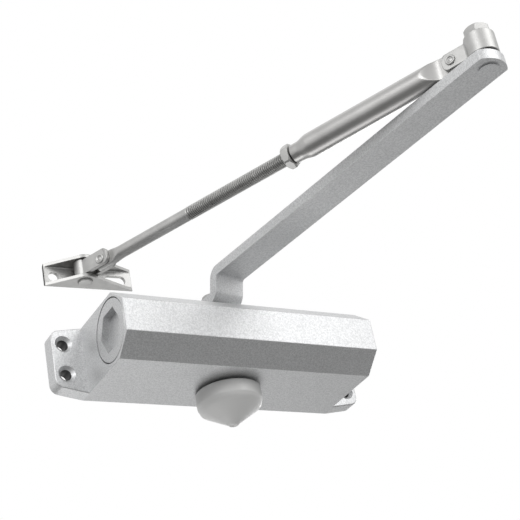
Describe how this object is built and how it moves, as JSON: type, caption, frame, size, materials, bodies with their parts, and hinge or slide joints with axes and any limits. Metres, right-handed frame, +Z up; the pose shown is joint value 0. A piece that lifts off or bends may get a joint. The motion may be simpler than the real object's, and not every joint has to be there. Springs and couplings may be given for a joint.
{
  "type": "surface door closer",
  "caption": "Surface door closer: cast cylinder body with eared back plate, cranked main arm, and adjustable forearm ending in a hinged shoe.",
  "frame": {"origin": "centre of the body's back face, on the door's surface, midway along the body and at half its height", "axes": "+X along the body to the end with the adjusting valves, +Y into the door, +Z up along the pinion shaft"},
  "size_m": [0.204, 0.2742, 0.1148],
  "materials": {
    "silver_paint": "fine metallic silver paint",
    "silver_plug": "fine metallic silver paint",
    "arm_paint": "fine metallic silver paint on steel",
    "black_rubber": "moulded rubber",
    "dark_steel": "oiled machined steel",
    "ball_steel": "ground steel",
    "spring_steel": "oiled spring steel",
    "grey_plastic": "moulded grey plastic",
    "black_plastic": "moulded black plastic",
    "zinc_steel": "bright zinc plate",
    "bright_steel": "drawn and polished tube"
  },
  "bodies": {
    "body": {"body_casting": "silver_paint", "end_plug_left": "silver_plug", "end_plug_right": "silver_plug", "plug_seals": "black_rubber", "shaft_bearings": "ball_steel", "bearing_caps": "dark_steel", "shaft_seals": "black_rubber", "valve_seals": "black_rubber", "spring_seat": "dark_steel", "spring": "spring_steel"},
    "piston": {"piston": "dark_steel", "check_ball": "ball_steel", "check_ring": "dark_steel"},
    "pinion": {"pinion_shaft": "dark_steel", "pinion_cover": "grey_plastic", "main_arm": "arm_paint", "arm_washer": "zinc_steel", "arm_screw": "zinc_steel", "elbow_bolt": "zinc_steel", "elbow_washer": "black_plastic", "elbow_bush": "black_plastic"},
    "elbow": {"elbow_knuckle": "zinc_steel", "elbow_rivet": "zinc_steel"},
    "tube": {"forearm_tube": "bright_steel"},
    "nut": {"lock_nut": "zinc_steel"},
    "rod": {"forearm_rod": "zinc_steel"},
    "shoe_link": {"shoe_knuckle": "zinc_steel", "shoe_rivet": "zinc_steel"},
    "shoe": {"shoe_bracket": "zinc_steel", "shoe_pin": "zinc_steel"},
    "closing_valve": {"closing_valve": "zinc_steel"},
    "latching_valve": {"latching_valve": "zinc_steel"}
  },
  "joints": [
    {"name": "pinion_turn", "type": "hinge", "parent": "body", "child": "pinion", "pos_m": [0, -0.024, 0], "axis": [0, 0, 1], "range_deg": [-90, 80]},
    {"name": "piston_slide", "type": "slide", "parent": "body", "child": "piston", "axis": [1, 0, 0], "range_m": [-0.0142, 0.0127], "deforming": ["spring"]},
    {"name": "elbow_swing", "type": "hinge", "parent": "pinion", "child": "elbow", "pos_m": [0.03893, -0.26437, 0.0578], "axis": [0, 0, 1], "range_deg": [-2, 155]},
    {"name": "elbow_tilt", "type": "hinge", "parent": "elbow", "child": "tube", "pos_m": [0.03226, -0.24949, 0.0578], "axis": [-0.9125, -0.4091, 0], "range_deg": [-4, 0.5]},
    {"name": "rod_length", "type": "slide", "parent": "tube", "child": "rod", "axis": [-0.4091, 0.9125, 0.0056], "range_m": [-0.02, 0.02]},
    {"name": "nut_run", "type": "slide", "parent": "tube", "child": "nut", "axis": [-0.4091, 0.9125, 0.0056], "range_m": [0, 0.02]},
    {"name": "shoe_tilt", "type": "hinge", "parent": "rod", "child": "shoe_link", "pos_m": [-0.06834, -0.02512, 0.05917], "axis": [-0.9125, -0.4091, 0], "range_deg": [-4, 4]},
    {"name": "shoe_swing", "type": "hinge", "parent": "shoe_link", "child": "shoe", "pos_m": [-0.07536, -0.00947, 0.0606], "axis": [0, 0, 1], "range_deg": [-44, 95]},
    {"name": "closing_turn", "type": "hinge", "parent": "body", "child": "closing_valve", "pos_m": [0.0817, -0.017, 0.011], "axis": [1, 0, 0], "range_deg": [-180, 180]},
    {"name": "latching_turn", "type": "hinge", "parent": "body", "child": "latching_valve", "pos_m": [0.0817, -0.017, -0.011], "axis": [1, 0, 0], "range_deg": [-180, 180]}
  ],
  "couplings": [
    {"joint": "piston_slide", "follows": "pinion_turn", "m_per_rad": 0.009}
  ]
}
